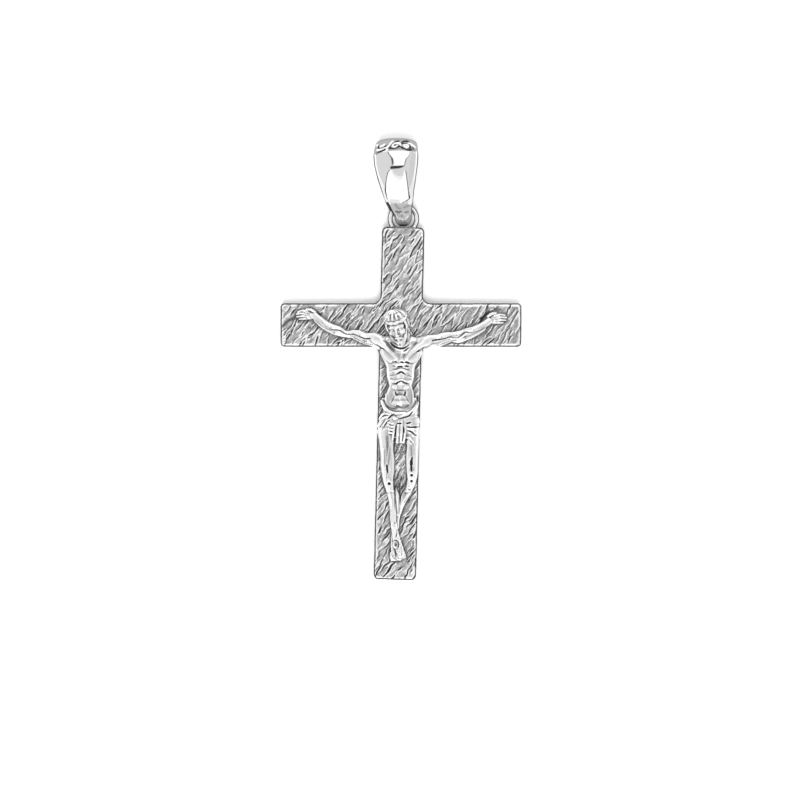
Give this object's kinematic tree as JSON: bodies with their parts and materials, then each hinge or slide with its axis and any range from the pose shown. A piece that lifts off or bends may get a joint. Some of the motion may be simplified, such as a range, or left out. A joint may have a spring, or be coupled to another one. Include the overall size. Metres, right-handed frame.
{
  "type": "crucifix pendant",
  "caption": "Bark-textured cross pendant with a cast figure, a soldered ring and a domed bail, lying on its back.",
  "frame": {"origin": "middle of the crossing on the cross's back face, which lies on the table", "axes": "+X along the arms to the right as seen from the front, +Y to the top of the cross, +Z out of its front"},
  "size_m": [0.0242, 0.0442, 0.005],
  "materials": {
    "textured_silver": "cast bark texture, rubbed bright on its ridges",
    "bright_silver": "polished casting, slightly darker in its folds",
    "polished_silver": "mirror polish"
  },
  "bodies": {
    "root": {"cross": "textured_silver", "corpus": "bright_silver", "bail": "polished_silver"}
  },
  "joints": []
}
